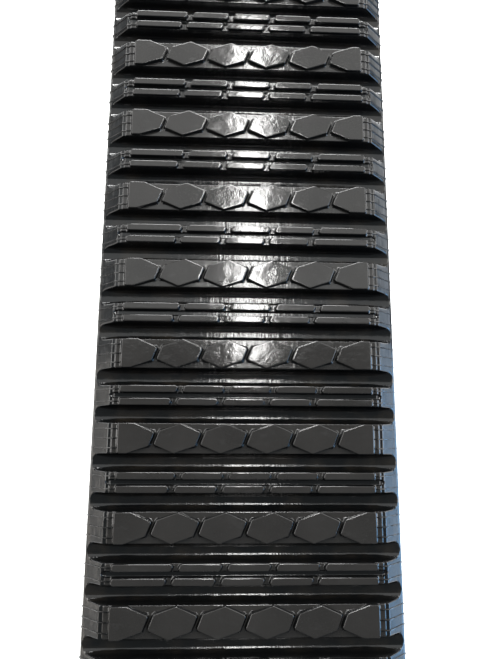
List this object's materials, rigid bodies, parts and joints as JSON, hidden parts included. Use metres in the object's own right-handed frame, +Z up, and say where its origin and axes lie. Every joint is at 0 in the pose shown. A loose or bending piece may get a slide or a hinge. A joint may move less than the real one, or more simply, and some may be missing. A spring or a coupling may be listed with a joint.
{
  "type": "rubber track",
  "caption": "Endless steel-cored rubber track with bar lugs, hexagon and long tread pads, guide horns and sprocket pockets, standing as an oval loop.",
  "frame": {"origin": "on the ground under the middle of the loop", "axes": "+X across the belt, +Y along the straight runs, +Z up"},
  "size_m": [0.32, 1.8762, 0.5002],
  "materials": {
    "tread_rubber": "moulded, glossy in the valleys and satin on the pads",
    "inner_rubber": "moulded satin",
    "fabric_ply": "rubberised bias weave",
    "cord_steel": "brass-plated stranded cord",
    "core_steel": "forged, dark scale"
  },
  "bodies": {
    "section_01": {"tread_cover_01": "tread_rubber", "fabric_ply_01": "fabric_ply", "steel_cords_01": "cord_steel", "core_bars_01": "core_steel", "wheel_side_rubber_01": "inner_rubber"},
    "section_02": {"tread_cover_02": "tread_rubber", "fabric_ply_02": "fabric_ply", "steel_cords_02": "cord_steel", "core_bars_02": "core_steel", "wheel_side_rubber_02": "inner_rubber"},
    "section_03": {"tread_cover_03": "tread_rubber", "fabric_ply_03": "fabric_ply", "steel_cords_03": "cord_steel", "core_bars_03": "core_steel", "wheel_side_rubber_03": "inner_rubber"},
    "section_04": {"tread_cover_04": "tread_rubber", "fabric_ply_04": "fabric_ply", "steel_cords_04": "cord_steel", "core_bars_04": "core_steel", "wheel_side_rubber_04": "inner_rubber"},
    "section_05": {"tread_cover_05": "tread_rubber", "fabric_ply_05": "fabric_ply", "steel_cords_05": "cord_steel", "core_bars_05": "core_steel", "wheel_side_rubber_05": "inner_rubber"},
    "section_06": {"tread_cover_06": "tread_rubber", "fabric_ply_06": "fabric_ply", "steel_cords_06": "cord_steel", "core_bars_06": "core_steel", "wheel_side_rubber_06": "inner_rubber"},
    "section_07": {"tread_cover_07": "tread_rubber", "fabric_ply_07": "fabric_ply", "steel_cords_07": "cord_steel", "core_bars_07": "core_steel", "wheel_side_rubber_07": "inner_rubber"},
    "section_08": {"tread_cover_08": "tread_rubber", "fabric_ply_08": "fabric_ply", "steel_cords_08": "cord_steel", "core_bars_08": "core_steel", "wheel_side_rubber_08": "inner_rubber"},
    "section_09": {"tread_cover_09": "tread_rubber", "fabric_ply_09": "fabric_ply", "steel_cords_09": "cord_steel", "core_bars_09": "core_steel", "wheel_side_rubber_09": "inner_rubber"},
    "section_10": {"tread_cover_10": "tread_rubber", "fabric_ply_10": "fabric_ply", "steel_cords_10": "cord_steel", "core_bars_10": "core_steel", "wheel_side_rubber_10": "inner_rubber"},
    "section_11": {"tread_cover_11": "tread_rubber", "fabric_ply_11": "fabric_ply", "steel_cords_11": "cord_steel", "core_bars_11": "core_steel", "wheel_side_rubber_11": "inner_rubber"},
    "section_12": {"tread_cover_12": "tread_rubber", "fabric_ply_12": "fabric_ply", "steel_cords_12": "cord_steel", "core_bars_12": "core_steel", "wheel_side_rubber_12": "inner_rubber"}
  },
  "joints": [
    {"name": "flex_line_01", "type": "hinge", "parent": "section_01", "child": "section_02", "pos_m": [0, -0.172, 0.031], "axis": [-1, 0, 0], "range_deg": [0, 6]},
    {"name": "flex_line_02", "type": "hinge", "parent": "section_02", "child": "section_03", "pos_m": [0, -0.516, 0.031], "axis": [-1, 0, 0], "range_deg": [0, 6]},
    {"name": "flex_line_03", "type": "hinge", "parent": "section_03", "child": "section_04", "pos_m": [0, -0.84285, 0.09514], "axis": [-1, 0, 0], "range_deg": [-12, 0]},
    {"name": "flex_line_04", "type": "hinge", "parent": "section_04", "child": "section_05", "pos_m": [0, -0.84285, 0.40485], "axis": [-1, 0, 0], "range_deg": [-12, 0]},
    {"name": "flex_line_05", "type": "hinge", "parent": "section_05", "child": "section_06", "pos_m": [0, -0.516, 0.46899], "axis": [-1, 0, 0], "range_deg": [0, 6]},
    {"name": "flex_line_06", "type": "hinge", "parent": "section_06", "child": "section_07", "pos_m": [0, -0.172, 0.46899], "axis": [-1, 0, 0], "range_deg": [0, 6]},
    {"name": "flex_line_07", "type": "hinge", "parent": "section_07", "child": "section_08", "pos_m": [0, 0.172, 0.46899], "axis": [-1, 0, 0], "range_deg": [0, 6]},
    {"name": "flex_line_08", "type": "hinge", "parent": "section_08", "child": "section_09", "pos_m": [0, 0.516, 0.46899], "axis": [-1, 0, 0], "range_deg": [0, 6]},
    {"name": "flex_line_09", "type": "hinge", "parent": "section_09", "child": "section_10", "pos_m": [0, 0.84285, 0.40485], "axis": [-1, 0, 0], "range_deg": [-12, 0]},
    {"name": "flex_line_10", "type": "hinge", "parent": "section_10", "child": "section_11", "pos_m": [0, 0.84285, 0.09514], "axis": [-1, 0, 0], "range_deg": [-12, 0]},
    {"name": "flex_line_11", "type": "hinge", "parent": "section_11", "child": "section_12", "pos_m": [0, 0.516, 0.031], "axis": [-1, 0, 0], "range_deg": [0, 6]}
  ],
  "couplings": [
    {"joint": "flex_line_02", "follows": "flex_line_01", "ratio": 1},
    {"joint": "flex_line_03", "follows": "flex_line_01", "ratio": -2},
    {"joint": "flex_line_04", "follows": "flex_line_01", "ratio": -2},
    {"joint": "flex_line_05", "follows": "flex_line_01", "ratio": 1},
    {"joint": "flex_line_06", "follows": "flex_line_01", "ratio": 1},
    {"joint": "flex_line_07", "follows": "flex_line_01", "ratio": 1},
    {"joint": "flex_line_08", "follows": "flex_line_01", "ratio": 1},
    {"joint": "flex_line_09", "follows": "flex_line_01", "ratio": -2},
    {"joint": "flex_line_10", "follows": "flex_line_01", "ratio": -2},
    {"joint": "flex_line_11", "follows": "flex_line_01", "ratio": 1}
  ]
}
